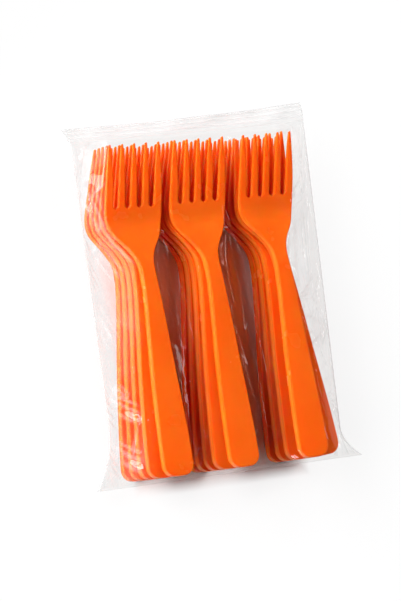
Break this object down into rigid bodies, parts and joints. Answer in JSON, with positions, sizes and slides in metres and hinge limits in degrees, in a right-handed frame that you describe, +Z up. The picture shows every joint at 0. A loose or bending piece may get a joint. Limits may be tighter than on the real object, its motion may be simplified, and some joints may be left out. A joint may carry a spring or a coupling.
{
  "type": "pack of plastic forks",
  "caption": "Sealed clear film bag of nested orange plastic forks in side-by-side stacks, lying on its back.",
  "frame": {"origin": "middle of the pack's footprint, on the surface that it lies on", "axes": "+Y towards the tine tips and the bag's top seal, +Z up out of the fork faces, +X to the right seen from above"},
  "size_m": [0.1482, 0.179, 0.0369],
  "materials": {
    "fork_plastic": "smooth moulded, satin to gloss",
    "clear_film": "clear, thin and glossy"
  },
  "bodies": {
    "root": {"film_bag": "clear_film", "fork_left_1": "fork_plastic", "fork_left_2": "fork_plastic", "fork_left_3": "fork_plastic", "fork_left_4": "fork_plastic", "fork_left_5": "fork_plastic", "fork_middle_1": "fork_plastic", "fork_middle_2": "fork_plastic", "fork_middle_3": "fork_plastic", "fork_middle_4": "fork_plastic", "fork_middle_5": "fork_plastic", "fork_right_1": "fork_plastic", "fork_right_2": "fork_plastic", "fork_right_3": "fork_plastic", "fork_right_4": "fork_plastic", "fork_right_5": "fork_plastic"}
  },
  "joints": []
}
